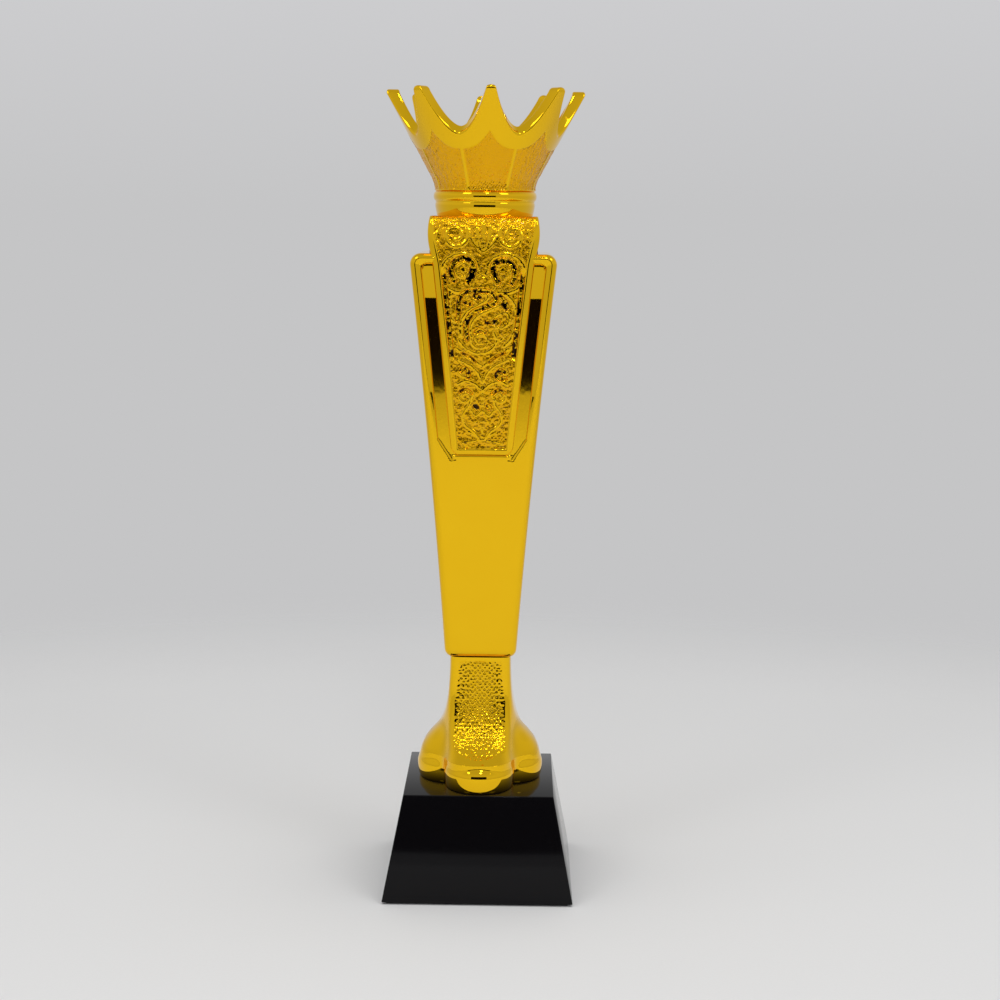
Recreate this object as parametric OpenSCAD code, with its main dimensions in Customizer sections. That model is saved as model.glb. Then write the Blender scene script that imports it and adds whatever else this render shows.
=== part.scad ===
// Column trophy: a gold column and an eight-pointed crown on a black pyramid base.
// Every piece is a moulding stacked on one tie rod, from a nut under the base
// to a domed nut in the bottom of the crown. Origin: centre of the underside.

/* [Base] */
// Width of the base at the floor
base_w = 80; // [70:1:120]
// Width of the base at its top
base_top_w = 63; // [62:0.5:69]
// Height of the base with its felt
base_h = 45; // [35:1:80]
// Thickness of the felt
felt_t = 1; // [0.5:0.1:2]
// Gap from the felt's edge to the base's edge
felt_margin = 2; // [1:0.5:8]
// Depth of the nut's counterbore
counterbore_h = 15; // [14:1:20]
// Diameter of the nut's counterbore
counterbore_d = 22; // [20:1:30]

/* [Foot] */
// Height of the foot, from the base to the column
foot_h = 55; // [50:1:80]
// Width of the square neck
neck_w = 25; // [22:0.5:28]
// Reach of the front and rear lobes from the axis
lobe_reach_y = 31; // [29:0.5:31]
// Reach of the side lobes from the axis
lobe_reach_x = 27; // [25:0.5:31]
// Radius of each lobe in plan
lobe_r = 15; // [13:0.5:17]
// Height of the rolled lip
lip_h = 12; // [8:0.5:14]
// Radius of the bell where it meets the lip
bell_r = 20.5; // [18:0.5:21]
// Height of the domes over the side lobes
dome_h = 24; // [20:0.5:30]
// Step from the lip back to the sweep on the front and rear
lip_step = 2; // [1:0.5:4]
// Radius of the hollow under the foot
foot_void_r = 16; // [15.5:0.5:17]
// Wall of the foot
foot_wall = 3; // [2:0.25:3.5]
// Thickness of the plate that closes the foot
foot_plate_t = 3; // [2:0.5:5]
// Diameter of the pegs under the foot plate
peg_d = 5; // [4:0.5:6]
// Length of the pegs
peg_h = 7; // [5:0.5:10]
// Distance between the pegs
peg_spacing = 22; // [20:1:24]

/* [Column] */
// Height of the column, from the neck to the shoulder
column_h = 170; // [130:5:240]
// Width of the column at its foot
column_foot_w = 30; // [28:0.5:34]
// Width of the column at its shoulder
column_top_w = 61.8; // [58:0.2:72]
// Depth of the column at its foot
column_foot_d = 29.2; // [28:0.2:34]
// Depth of the column at its shoulder
column_top_d = 48.8; // [46:0.2:60]
// How much of the flare is curved, from straight to all curved
flare = 0.22; // [0:0.02:0.4]
// Radius of the shoulder's outer corners
shoulder_r = 5; // [3:0.5:8]
// Radius of the column's lower corners
heel_r = 3.5; // [2:0.5:5]
// Wall of the shells
wall = 2.5; // [2:0.25:3]
// Thickness of the locating lip on the front shell
lap_t = 1.2; // [0.8:0.1:1.5]
// Reach of the locating lip into the rear shell
lap_h = 3; // [2:0.5:5]

/* [Panels] */
// Width of the raised rail along the column's edge
rail_w = 4.2; // [3:0.2:6]
// Width of the channel beside the panel
channel_w = 5; // [4:0.2:7]
// Depth of the channel
channel_d = 3; // [2:0.2:4]
// Height of the panel above the rails
panel_proud = 0.4; // [0:0.1:1]
// Length of the panel below the shoulder
panel_drop = 83; // [70:1:110]
// Width of the bead round the panel
bead_w = 3.2; // [2:0.2:4]
// Depth of the sunk field inside the bead
field_d = 1.2; // [0.6:0.1:1.6]
// Diameter of the panel's fixing studs
stud_d = 4; // [3:0.5:5]

/* [Head and collar] */
// Height of the head above the shoulder
head_h = 15; // [12:0.5:20]
// Width of the head at its widest
head_w = 45.4; // [43:0.2:50]
// How much narrower the head is at its top than at its widest
head_swell = 1; // [0:0.2:2]
// How far the panel rolls back over the head
roll_in = 3.8; // [2:0.2:5]
// Height of the collar
collar_h = 10; // [8:0.5:14]
// Diameter of the collar's plain band
collar_d = 41; // [38:0.5:44]
// Height of the collar's bead
collar_bead_h = 4; // [3:0.5:5]
// Width of the collar's groove
groove_w = 1.2; // [0.8:0.1:2]

/* [Crown] */
// Height of the crown
crown_h = 41; // [34:1:60]
// Diameter of the crown at its foot
crown_foot_d = 42.4; // [41:0.2:46]
// Diameter of the crown across its points
crown_top_d = 82; // [72:1:92]
// Number of points
crown_points = 8; // [6:1:10]
// Turn of the crown about the axis
crown_turn = 3.9; // [0:0.1:5]
// Depth of the scallops below the points
scallop_h = 17; // [10:0.5:20]
// Slope of the scallops, up towards the inside
scallop_slope = 55; // [0:5:60]
// Radius of the ball on each point
tip_r = 1.7; // [1.2:0.1:2.5]
// Wall of the crown
crown_wall = 3; // [2:0.25:4]
// Thickness of the crown's points at their tips
crown_tip_t = 5.6; // [3.5:0.1:6]
// Thickness of the crown's floor
crown_floor_t = 3; // [2.5:0.5:5]

/* [Tie rod and fasteners] */
// Diameter of the tie rod
rod_d = 6; // [5:1:8]
// Space between the rod and the pieces it passes through
rod_clear = 0.3; // [0.2:0.05:0.6]
// Space between the rod and its nuts
thread_clear = 0.05; // [0.02:0.01:0.1]
// Space between pieces that plug together
fit_clear = 0.2; // [0.1:0.05:0.4]

/* [Hidden] */
$fn = 96;
gold = "#DDA81A";
black = "#17161A";
steel = "#B9BCC0";
natural = "#2B2B2D";

// Levels, from the floor up
z_seat = base_h;
z_neck = z_seat + foot_h;
z_shoulder = z_neck + column_h;
z_head = z_shoulder + head_h;
z_collar = z_head + collar_h;
z_tip = z_collar + crown_h;

// Fasteners sized from the rod
bore_r = rod_d / 2 + rod_clear;
nut_bore_r = rod_d / 2 + thread_clear;
nut_flats = rod_d * 10 / 6;
nut_h = rod_d * 5 / 6;
washer_t = rod_d * 1.6 / 6;
washer_r = rod_d;
big_washer_r = rod_d * 1.5;
dome_r = nut_flats * 0.47;
rod_end = 3;
z_washer = felt_t + counterbore_h - washer_t;
z_spring = z_washer - washer_t;
z_nut = z_spring - nut_h;
z_crown_floor = z_collar + crown_floor_t;
z_dome = z_crown_floor + washer_t + nut_h;

// Sockets and spigots
spigot_w = 12;
head_spigot_w = 20;
spigot_deep = 3;
plug_h = 10;
hollow_r = 0.5;
foot_ledge = 1.5;
collar_spigot_r = 15;
collar_spigot_h = 4;
crown_spigot_r = 14;
crown_spigot_h = 1.5;
steps = 12;
far = 200;

// Half width and half depth of the column at height z
function rise(z) = (z - z_neck) / column_h;
function mix(a, b, t) = a + (b - a) * t;
function half_w(z) =
    mix(column_foot_w, column_top_w, (1 - flare) * rise(z) + flare * rise(z) * rise(z)) / 2;
function half_d(z) = mix(column_foot_d, column_top_d, rise(z)) / 2;

// Points of a quarter arc about a centre, from one angle to another
function arc(x, y, r, from, to) =
    [for (i = [0 : 6]) let (a = mix(from, to, i / 6)) [x + r * cos(a), y + r * sin(a)]];
function mirrored(points) =
    concat(points, [for (i = [len(points) - 1 : -1 : 0]) [-points[i][0], points[i][1]]]);

// Half of the column's outline from low to high, set in by a margin
function flank(margin, low, high, low_r, high_r) = concat(
    arc(half_w(low) - margin - low_r, low + low_r, low_r, -90, 0),
    [for (i = [1 : steps - 1]) let (z = mix(low + low_r, high - high_r, i / steps))
        [half_w(z) - margin, z]],
    arc(half_w(high - high_r) - margin - high_r, high - high_r, high_r, 0, 90));

// The panel follows the rails up to the shoulder and then swells over the head
panel_foot = z_shoulder - panel_drop;
z_roll = z_shoulder - rail_w;
panel_margin = rail_w + channel_w;
panel_r = 4;
z_swell = z_shoulder + head_h * 0.2;
function head_half(z) =
    head_w / 2 - head_swell * pow((z - z_shoulder) / head_h * 2 - 1.1, 2);
function panel_half(z, margin) = (z < z_roll
    ? half_w(z) - panel_margin
    : mix(half_w(z_roll) - panel_margin, head_half(z_swell), (z - z_roll) / (z_swell - z_roll)))
    - margin;
function panel_flank(margin, top) = concat(
    arc(panel_half(panel_foot + margin, margin) - panel_r, panel_foot + margin + panel_r,
        panel_r, -90, 0),
    [for (i = [1 : steps]) let (z = mix(panel_foot + margin + panel_r, z_roll, i / steps))
        [panel_half(z, margin), z]],
    [for (i = [1 : steps]) let (z = mix(z_roll, top, i / steps))
        [z < z_swell ? panel_half(z, margin) : head_half(z) - margin, z]]);

// How far forward the panel's face stands at height z
function panel_y(z) = z < z_roll
    ? half_d(z) + panel_proud
    : half_d(z_roll) + panel_proud
      - roll_in * (1 - sqrt(1 - pow(min(1, (z - z_roll) / (z_head - z_roll)), 2)));
function panel_face(back, low) = concat(
    [[panel_y(low) - back, low]],
    [for (i = [0 : steps]) let (z = mix(z_roll, z_head, i / steps)) [panel_y(z) - back, z]]);
panel_t = channel_d + panel_proud;
panel_seat = mirrored(panel_face(panel_t, z_neck));

// An outline of width and height, extruded through the depth of the column
module front_prism(points, near = -far, back = far)
    translate([0, back, 0]) rotate([90, 0, 0]) linear_extrude(back - near) polygon(points);

// An outline of depth and height, extruded across the width of the column
module side_prism(points)
    translate([-far / 2, 0, 0]) rotate([90, 0, 90]) linear_extrude(far) polygon(points);

// Depth outline of the column, set in by a margin
function depth_outline(margin, low, high) =
    [[-half_d(low) + margin, low], [half_d(low) - margin, low],
     [half_d(high) - margin, high], [-half_d(high) + margin, high]];

module bore(r, low, high) translate([0, 0, low]) cylinder(r = r, h = high - low);

module square_post(w, d, low, high)
    translate([-w / 2, -d / 2, low]) cube([w, d, high - low]);

module hex_nut(low, high) difference() {
    translate([0, 0, low]) cylinder(d = nut_flats / cos(30), h = high - low, $fn = 6);
    bore(nut_bore_r, low - 1, high + 1);
}

module flat_washer(r, low) difference() {
    bore(r, low, low + washer_t);
    bore(bore_r, low - 1, low + washer_t + 1);
}

// Black felt glued under the base
module base_felt() color("#101012")
    square_post(base_w - 2 * felt_margin, base_w - 2 * felt_margin, 0, felt_t);

// Lacquered block, drilled for the rod and for the two pegs
module base_block() color(black) difference() {
    intersection() {
        front_prism(block_outline());
        side_prism(block_outline());
    }
    bore(bore_r, 0, z_seat + 1);
    bore(counterbore_d / 2, 0, felt_t + counterbore_h);
    for (side = [-1, 1]) translate([side * peg_spacing / 2, 0, z_seat - peg_h - 1])
        cylinder(d = peg_d + 2 * fit_clear, h = peg_h + 2);
}
function block_outline() =
    [[-base_w / 2, felt_t], [base_w / 2, felt_t],
     [base_top_w / 2, z_seat], [-base_top_w / 2, z_seat]];

module base_washer() color(steel) flat_washer(big_washer_r, z_washer);

// Split spring washer
module base_spring_washer() color(steel) difference() {
    flat_washer(washer_r * 0.95, z_spring);
    translate([0, -0.4, z_spring - 1]) cube([far, 0.8, washer_t + 2]);
}

module base_nut() color(steel) hex_nut(z_nut, z_spring);

module tie_rod() color(steel) bore(rod_d / 2, z_nut - rod_end, z_dome + rod_d / 3);

// Plate that closes the foot, with the pegs that stop it turning
module foot_plate() color(natural) difference() {
    union() {
        bore(foot_void_r - fit_clear, z_seat, z_seat + foot_plate_t);
        for (side = [-1, 1]) translate([side * peg_spacing / 2, 0, z_seat - peg_h])
            cylinder(d = peg_d, h = peg_h + 1);
    }
    bore(bore_r, 0, z_neck);
}

// Half of the neck's outline: it spreads from the column down to a reach at the lip
z_bell = z_seat + lip_h;
function spread(reach, power, t) = neck_w / 2 + (reach - neck_w / 2) * pow(1 - t, power);
function flare_out(reach, power) =
    [for (i = [0 : steps]) [spread(reach, power, i / steps), mix(z_bell, z_neck, i / steps)]];
bell = concat([[bell_r - 1.5, z_seat + 1], [bell_r - 1.5, z_bell - 1]], flare_out(bell_r, 2.2));
sweep = concat([[lobe_reach_y - lip_step, z_bell - lip_step]],
               flare_out(lobe_reach_y - lip_step, 3.5));

// The bell's corners reach from a circle at the lip to a soft square at the column
bell_corners = [for (i = [0 : len(bell) - 1])
    [bell[i][0] * mix(1, 1.27, min(1, 1.6 * max(0, i - 2) / steps)), bell[i][1]]];

// One lobe: its edge is rolled in below, and rolled in above over a given width up to its top
module lobe(reach, angle, top, roll) rotate([0, 0, angle])
    translate([reach - lobe_r, 0, z_seat]) rotate_extrude() polygon(concat(
        [[0, 0]],
        arc(lobe_r - lip_h / 2, lip_h / 2, lip_h / 2, -90, 0),
        [for (i = [1 : steps]) let (t = i / steps)
            [lobe_r - roll * (1 - pow(1 - pow(t, 2.3), 1 / 2.3)), mix(lip_h / 2, top, t)]],
        [[0, top]]));

// Outline in plan of the front and rear lobes together
module lobe_pair() {
    for (side = [-1, 1]) translate([0, side * (lobe_reach_y - lobe_r)])
        circle(lobe_r - lip_step);
    square([2 * (lobe_r - lip_step), 2 * (lobe_reach_y - lobe_r)], center = true);
}

// Four-lobed foot with a square neck, hollow, and keyed to the column
module foot() color(gold) difference() {
    union() {
        intersection() {
            front_prism(mirrored(bell));
            side_prism(mirrored(bell));
            rotate_extrude() polygon(concat([[0, z_neck], [0, z_seat + 1]], bell_corners));
        }
        intersection() {
            front_prism(mirrored(bell));
            side_prism(mirrored(sweep));
            translate([0, 0, z_seat]) linear_extrude(foot_h) lobe_pair();
        }
        for (side = [0, 180]) lobe(lobe_reach_x, side, dome_h, lobe_r - 0.1);
        for (side = [90, 270]) lobe(lobe_reach_y, side, lip_h, lip_h / 2);
        square_post(spigot_w, spigot_w, z_neck - 1, z_neck + wall + spigot_deep);
    }
    translate([0, 0, z_seat]) rotate_extrude() polygon([
        [0, -1], [foot_void_r, -1], [foot_void_r, foot_plate_t + fit_clear],
        [foot_void_r - foot_ledge, foot_plate_t + fit_clear], [foot_void_r - foot_ledge, lip_h],
        [neck_w / 2 - foot_wall, dome_h], [neck_w / 2 - foot_wall, foot_h - foot_wall],
        [0, foot_h - foot_wall]]);
    bore(bore_r, z_seat, z_neck + far);
}

// Block inside one end of the column, with a square socket in its outer face
module end_plug(low, socket_w, socket_low) color(natural) difference() {
    square_post(2 * (half_w(low) - wall - lap_t - 2 * fit_clear - hollow_r),
                2 * (half_d(low) - channel_d - wall - fit_clear), low, low + plug_h);
    square_post(socket_w + 2 * fit_clear, socket_w + 2 * fit_clear,
                socket_low, socket_low + spigot_deep + fit_clear);
    bore(bore_r, low - 1, low + plug_h + 1);
}
module column_lower_plug() end_plug(z_neck + wall, spigot_w, z_neck + wall);
module column_upper_plug() end_plug(z_shoulder - wall - plug_h, head_spigot_w,
                                    z_shoulder - wall - spigot_deep - fit_clear);

// Outline of the hollow inside the shells, set in by a further margin
function hollow(margin) = mirrored(
    flank(wall + margin, z_neck + wall, z_shoulder - wall, hollow_r, hollow_r));

// The whole column before it is split into its front and rear shells
module column_body() difference() {
    intersection() {
        front_prism(mirrored(flank(0, z_neck, z_shoulder, heel_r, shoulder_r)));
        side_prism(depth_outline(0, z_neck, z_shoulder));
    }
    intersection() {
        front_prism(hollow(0));
        side_prism(depth_outline(channel_d + wall, z_neck + wall, z_shoulder - wall));
    }
    difference() {
        union() {
            front_prism(mirrored(flank(rail_w, panel_foot - panel_r, z_shoulder - rail_w,
                                       panel_r, shoulder_r / 2)));
            front_prism(mirrored(panel_flank(0, z_head)));
        }
        side_prism(panel_seat);
    }
    square_post(spigot_w + 2 * fit_clear, spigot_w + 2 * fit_clear, z_neck - 1, z_neck + wall + 1);
    square_post(head_spigot_w + 2 * fit_clear, head_spigot_w + 2 * fit_clear,
                z_shoulder - wall - 1, z_shoulder + 1);
    for (z = stud_levels) stud(z, stud_d / 2 + fit_clear, far);
}
stud_levels = [panel_foot + panel_drop * 0.25, panel_foot + panel_drop * 0.75];
module stud(z, r, length) rotate([90, 0, 0]) translate([0, z, -length / 2])
    cylinder(r = r, h = length);

// A band that follows the hollow, from one margin to another
module lap_band(outer, inner, near, back) difference() {
    front_prism(hollow(outer), near, back);
    front_prism(hollow(inner), near - 1, back + 1);
}

// Front shell, with a lip all round its edge that plugs into the rear shell
module column_front_shell() color(gold) {
    intersection() {
        column_body();
        translate([-far / 2, -far, 0]) cube([far, far, 2 * far]);
    }
    lap_band(0, lap_t + fit_clear, -lap_h, 0);
    lap_band(fit_clear, lap_t + fit_clear, -0.01, lap_h);
}

module column_rear_shell() color(gold) intersection() {
    column_body();
    translate([-far / 2, 0, 0]) cube([far, far, 2 * far]);
}

// Beaded tongue in the channel, rolling back over the head, with a sunk field and two studs
module panel() color(gold) {
    difference() {
        intersection() {
            front_prism(mirrored(panel_flank(0, z_head)), -far, 0);
            side_prism([for (p = panel_band(0, panel_t)) [-p[0], p[1]]]);
        }
        intersection() {
            front_prism(mirrored(panel_flank(bead_w, z_head + 1)), -far, 0);
            side_prism([for (p = panel_band(-1, field_d)) [-p[0], p[1]]]);
        }
    }
    for (z = stud_levels) intersection() {
        stud(z, stud_d / 2, far);
        side_prism([[-half_d(z) + channel_d - 1, 0], [-half_d(z) + channel_d + 2 * wall, 0],
                    [-half_d(z) + channel_d + 2 * wall, z_tip], [-half_d(z) + channel_d - 1, z_tip]]);
    }
}
function panel_band(outer, inner) = let (back = panel_face(inner, panel_foot)) concat(
    panel_face(outer, panel_foot),
    [for (i = [len(back) - 1 : -1 : 0]) back[i]]);
module front_panel() panel();
module rear_panel() rotate([0, 0, 180]) panel();

// Block between the rolled ends of the panels, keyed into the column and the collar
module column_head() color(gold) difference() {
    union() {
        intersection() {
            front_prism(mirrored([for (i = [0 : steps]) let (z = mix(z_shoulder, z_head, i / steps))
                [head_half(max(z, z_swell)), z]]));
            side_prism(panel_seat);
        }
        square_post(head_spigot_w, head_spigot_w, z_shoulder - wall - spigot_deep, z_shoulder + 1);
        bore(collar_spigot_r, z_head - 1, z_head + collar_spigot_h);
    }
    bore(bore_r, 0, z_tip);
}

// Turned ring: plain band, groove and bead, with a spigot for the crown
module crown_collar() color(gold) difference() {
    translate([0, 0, z_head]) rotate_extrude() polygon(concat(
        [[0, 0], [collar_d / 2 + 0.2, 0], [collar_d / 2, 1],
         [collar_d / 2, collar_h - collar_bead_h - groove_w],
         [collar_d / 2 - groove_w / 2, collar_h - collar_bead_h - groove_w / 2],
         [collar_d / 2 - groove_w / 2, collar_h - collar_bead_h]],
        arc(crown_foot_d / 2 - collar_bead_h / 2 + 0.2, collar_h - collar_bead_h / 2,
            collar_bead_h / 2, -90, 90),
        [[crown_spigot_r, collar_h], [crown_spigot_r, collar_h + crown_spigot_h],
         [0, collar_h + crown_spigot_h]]));
    bore(collar_spigot_r + fit_clear, z_head - 1, z_head + collar_spigot_h + fit_clear);
    bore(bore_r, 0, z_tip);
}

// Outer radius of the crown as a share of its height: a short curve and then a straight flare
curve_end = 0.14;
bend_steps = 6;
straight = 1 / (1 - curve_end / 2);
function crown_r(t) = mix(crown_foot_d, crown_top_d,
    t < curve_end ? t * t * straight / (2 * curve_end) : 1 - (1 - t) * straight) / 2;
crown_rim = crown_h - tip_r;
tip_set = 0.2;

// One scallop, cut through the wall between two points and sloping up to the inside
module scallop(angle) rotate([0, 0, angle]) {
    half = (crown_top_d / 2) * tan(180 / crown_points) * 0.88;
    low = z_tip - scallop_h - tip_r;
    translate([crown_r((low - z_collar) / crown_rim), 0, low]) rotate([0, scallop_slope, 0])
        rotate([90, 0, 90]) linear_extrude(crown_top_d * 0.7, center = true)
            polygon([for (i = [-steps : steps]) let (u = i / steps)
                [u * half, scallop_h * 1.06 * pow(abs(u), 1.7)]]);
}

// Open cup with a scalloped edge and a ball on each point
module crown() color(gold) rotate([0, 0, crown_turn]) difference() {
    union() {
        difference() {
            translate([0, 0, z_collar]) rotate_extrude() polygon(concat(
                [for (i = [0 : bend_steps]) let (t = curve_end * i / bend_steps)
                    [crown_r(t), crown_rim * t]],
                [[crown_r(1), crown_rim], [crown_r(1) - crown_tip_t, crown_rim],
                 [crown_r(curve_end) - crown_wall * 1.13, crown_rim * curve_end],
                 [crown_r(0) - crown_wall - 2, crown_floor_t], [0, crown_floor_t], [0, 0]]));
            for (i = [0 : crown_points - 1])
                scallop(-90 + (i + 0.5) * 360 / crown_points);
        }
        for (i = [0 : crown_points - 1]) rotate([0, 0, -90 + i * 360 / crown_points])
            translate([crown_top_d / 2 - tip_r - tip_set, 0, z_tip - tip_r])
                sphere(r = tip_r, $fn = 32);
    }
    bore(crown_spigot_r + fit_clear, z_collar - 1, z_collar + crown_spigot_h + fit_clear);
    bore(bore_r, 0, z_tip);
}

module crown_washer() color(steel) flat_washer(washer_r, z_crown_floor);

// Domed nut that closes the rod's upper end
module crown_nut() color(gold) difference() {
    union() {
        translate([0, 0, z_crown_floor + washer_t])
            cylinder(d = nut_flats / cos(30), h = nut_h, $fn = 6);
        translate([0, 0, z_dome]) intersection() {
            sphere(r = dome_r);
            cylinder(r = far, h = far);
        }
    }
    bore(nut_bore_r, 0, z_dome + rod_d / 3 + 0.3);
}

base_felt();
base_block();
base_washer();
base_spring_washer();
base_nut();
tie_rod();
foot_plate();
foot();
column_lower_plug();
column_front_shell();
column_rear_shell();
column_upper_plug();
front_panel();
rear_panel();
column_head();
crown_collar();
crown();
crown_washer();
crown_nut();
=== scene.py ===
import math
import bmesh
import bpy
import numpy as np
from mathutils import Matrix, Vector


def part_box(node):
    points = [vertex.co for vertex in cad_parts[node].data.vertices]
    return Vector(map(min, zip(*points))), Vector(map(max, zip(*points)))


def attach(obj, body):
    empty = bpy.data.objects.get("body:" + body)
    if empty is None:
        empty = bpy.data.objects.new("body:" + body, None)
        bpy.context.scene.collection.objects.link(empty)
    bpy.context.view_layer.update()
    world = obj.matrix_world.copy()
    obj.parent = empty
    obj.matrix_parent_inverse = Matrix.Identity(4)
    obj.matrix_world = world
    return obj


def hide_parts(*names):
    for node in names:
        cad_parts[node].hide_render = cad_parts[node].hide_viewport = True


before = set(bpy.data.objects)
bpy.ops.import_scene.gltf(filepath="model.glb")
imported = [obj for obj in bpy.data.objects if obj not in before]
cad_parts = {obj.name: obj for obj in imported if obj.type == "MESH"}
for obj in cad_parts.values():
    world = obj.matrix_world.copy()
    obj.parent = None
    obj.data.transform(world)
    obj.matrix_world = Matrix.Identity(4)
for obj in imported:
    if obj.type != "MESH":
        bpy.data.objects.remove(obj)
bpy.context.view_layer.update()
mm = 0.001

# ---- Base felt ------------------------------------------------------------------------
# Square of black wool felt, cut from sheet and glued under the base to save the shelf.
# Its fibres lie every way, so it is dull, with a faint grey fuzz where light grazes it.


def linear(code):
    """Turn an sRGB hex colour into the linear values a shader takes."""
    parts = [int(code[i:i + 2], 16) / 255 for i in (1, 3, 5)]
    return [p / 12.92 if p <= 0.04045 else ((p + 0.055) / 1.055) ** 2.4 for p in parts] + [1.0]


def new_material(name):
    """Start an empty node material."""
    material = bpy.data.materials.new(name)
    material.use_nodes = True
    material.node_tree.nodes.clear()
    return material


def add_node(material, kind, inputs=None, **settings):
    """Add a shader node; an input that is a socket is linked and any other is set."""
    node = material.node_tree.nodes.new("ShaderNode" + kind)
    for key, value in settings.items():
        setattr(node, key, value)
    for key, value in (inputs or {}).items():
        if isinstance(value, bpy.types.NodeSocket):
            material.node_tree.links.new(value, node.inputs[key])
        else:
            node.inputs[key].default_value = value
    return node


def finish_cad_node(name, material):
    """Give a piece that keeps its CAD mesh its procedural material."""
    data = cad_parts[name].data
    data.materials.clear()
    data.materials.append(material)


# Wool felt: fibres about 0.03 mm across, drawn at 0.4 mm so that the nap shows.
wool_felt = new_material("black_wool_felt")
place = add_node(wool_felt, "TexCoord").outputs["Object"]
fibres = add_node(wool_felt, "TexNoise", {"Vector": place, "Scale": 2500.0, "Detail": 4.0})
shade = add_node(wool_felt, "MixRGB", {"Fac": fibres.outputs[0], "Color1": linear("#08080A"),
                                       "Color2": linear("#1B1B1E")})
nap = add_node(wool_felt, "Bump", {"Height": fibres.outputs[0], "Distance": 0.2 * mm})
felt_shader = add_node(wool_felt, "BsdfPrincipled", {
    "Base Color": shade.outputs[0], "Roughness": 0.95, "Sheen Weight": 0.3,
    "Sheen Roughness": 0.5, "Normal": nap.outputs[0]})
add_node(wool_felt, "OutputMaterial", {"Surface": felt_shader.outputs[0]})
finish_cad_node("base_felt", wool_felt)

# ---- Base block -----------------------------------------------------------------------
# Truncated pyramid of black lacquered board, polished, with its edges just broken. It is
# drilled for the tie rod, and counterbored below for the nut and its washers.
block_low, block_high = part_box("base_block")
block_top_half = 31.5 * mm
block_edge = 0.35 * mm
rod_bore = 3.3
rod_bore_r = rod_bore * mm
counterbore_r = 11 * mm
counterbore_top = 16 * mm
bore_steps = 48


def on_circle(co, radius, level):
    """The point of a circle about the axis that faces the same way as co."""
    angle = math.atan2(co.y, co.x)
    return Vector((radius * math.cos(angle), radius * math.sin(angle), level))


def pull_ring(bm, ring, radius, level):
    """Extrude a round edge loop once, to another radius and level."""
    made = bmesh.ops.extrude_edge_only(bm, edges=ring)["geom"]
    corners = {g for g in made if isinstance(g, bmesh.types.BMVert)}
    for corner in corners:
        corner.co = on_circle(corner.co, radius, level)
    return [g for g in made if isinstance(g, bmesh.types.BMEdge) and set(g.verts) <= corners]


def open_face(bm, way, radius, level):
    """Cut a round hole in the flat face that faces up (1) or down (-1)."""
    face = max((f for f in bm.faces if f.normal.z * way > 0.99),
               key=lambda f: f.calc_area())
    rim = list(face.edges)
    bmesh.ops.delete(bm, geom=[face], context="FACES_ONLY")
    circle = bmesh.ops.create_circle(bm, cap_ends=False, radius=radius, segments=bore_steps,
                                     matrix=Matrix.Translation((0, 0, level)))["verts"]
    hole = list({e for v in circle for e in v.link_edges})
    bmesh.ops.bridge_loops(bm, edges=rim + hole)
    return hole


def add_piece(name, bm, material, sharp=None):
    """Put a finished bmesh in the scene as a smooth-shaded piece with one material."""
    mesh = bpy.data.meshes.new(name)
    bm.to_mesh(mesh)
    bm.free()
    mesh.materials.append(material)
    mesh.polygons.foreach_set("use_smooth", [True] * len(mesh.polygons))
    if sharp:
        mesh.set_sharp_from_angle(angle=math.radians(sharp))
    piece = bpy.data.objects.new(name, mesh)
    bpy.context.scene.collection.objects.link(piece)
    return piece


bm = bmesh.new()
bmesh.ops.create_cube(bm, size=2)
for corner in bm.verts:
    top = corner.co.z > 0
    half = block_top_half if top else block_high.x
    corner.co = (corner.co.x * half, corner.co.y * half, (block_high if top else block_low).z)
bmesh.ops.bevel(bm, geom=bm.edges[:], offset=block_edge, offset_type="OFFSET", segments=3,
                profile=0.5, affect="EDGES", material=-1)
bm.normal_update()
bottom_hole = open_face(bm, -1, counterbore_r, block_low.z)
top_hole = open_face(bm, 1, rod_bore_r, block_high.z)
ceiling = pull_ring(bm, bottom_hole, counterbore_r, counterbore_top)
shaft = pull_ring(bm, ceiling, rod_bore_r, counterbore_top)
bmesh.ops.bridge_loops(bm, edges=shaft + top_hole)
bmesh.ops.recalc_face_normals(bm, faces=bm.faces[:])

# Black lacquer: polished polyester, a near mirror with very slight waves from the buffing
# wheel and a little dust in the last coat.
lacquer = new_material("polished_black_lacquer")
place = add_node(lacquer, "TexCoord").outputs["Object"]
waves = add_node(lacquer, "TexNoise", {"Vector": place, "Scale": 90.0, "Detail": 1.0})
dust = add_node(lacquer, "TexNoise", {"Vector": place, "Scale": 1500.0, "Detail": 3.0})
polish = add_node(lacquer, "MapRange", {"Value": dust.outputs[0], "From Min": 0.35,
                                        "From Max": 0.75, "To Min": 0.07, "To Max": 0.11})
tint = add_node(lacquer, "MixRGB", {"Fac": dust.outputs[0], "Color1": linear("#070608"),
                                    "Color2": linear("#0E0D0F")})
ripple = add_node(lacquer, "Bump", {"Height": waves.outputs[0], "Distance": 0.01 * mm})
lacquer_shader = add_node(lacquer, "BsdfPrincipled", {
    "Base Color": tint.outputs[0], "Roughness": polish.outputs[0], "Specular IOR Level": 0.16,
    "Normal": ripple.outputs[0]})
add_node(lacquer, "OutputMaterial", {"Surface": lacquer_shader.outputs[0]})

base_block = add_piece("polished_base_block", bm, lacquer, sharp=40)
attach(base_block, "root")
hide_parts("base_block")

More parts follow.
